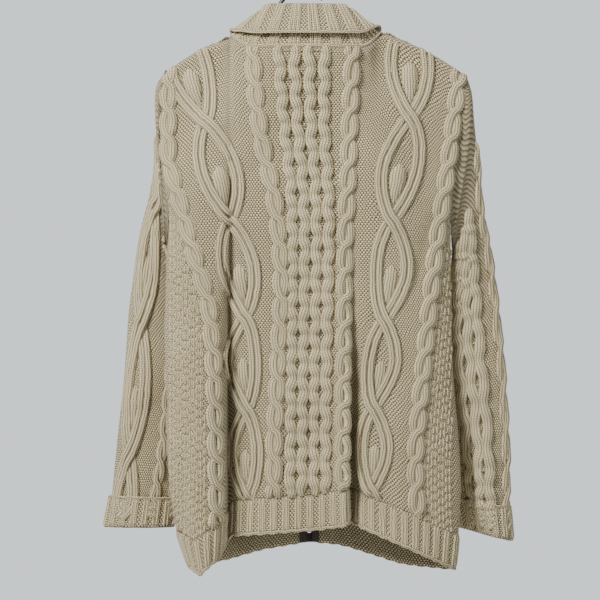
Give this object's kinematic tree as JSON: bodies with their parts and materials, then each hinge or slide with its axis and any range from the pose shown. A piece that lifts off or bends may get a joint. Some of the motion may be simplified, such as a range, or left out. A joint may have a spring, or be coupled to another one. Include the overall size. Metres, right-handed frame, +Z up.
{
  "type": "cable knit zip cardigan and hanger",
  "caption": "Heavy cable knit cardigan with a ribbed fold-down collar, turned-back rib cuffs and a closed zip front, hung on a slim shoulder hanger with a curved hook.",
  "frame": {"origin": "inner top of the hanger's hook, where it rests on a rail", "axes": "+Z up, +Y towards the zip front, -Y towards the back, +X towards the wearer's right"},
  "size_m": [0.5927, 0.1226, 0.8347],
  "materials": {
    "knit": "thick cream wool knit, matt and slightly hairy",
    "zip_tape": "dark brown woven zip tape",
    "zip_metal": "dark antique metal",
    "hanger": "black plastic"
  },
  "bodies": {
    "garment": {"back_panel": "knit", "back_hem_rib": "knit", "front_left": "knit", "front_left_rib": "knit", "front_right": "knit", "front_right_rib": "knit", "sleeve_left": "knit", "sleeve_right": "knit", "cuff_left": "knit", "cuff_right": "knit", "collar_stand": "knit", "collar_fall": "knit", "zip_tape_left": "zip_tape", "zip_tape_right": "zip_tape", "zip_chain": "zip_metal", "zip_box": "zip_metal", "zip_slider": "zip_metal", "zip_lug_left": "zip_metal", "zip_lug_right": "zip_metal", "hanger_bar": "hanger", "hanger_hook": "hanger"},
    "pull_tab": {"zip_pull": "zip_metal"}
  },
  "joints": [
    {"name": "pull_hinge", "type": "hinge", "parent": "garment", "child": "pull_tab", "pos_m": [0.009, 0.04394, -0.17443], "axis": [1, 0, 0], "range_deg": [0, 150]}
  ]
}
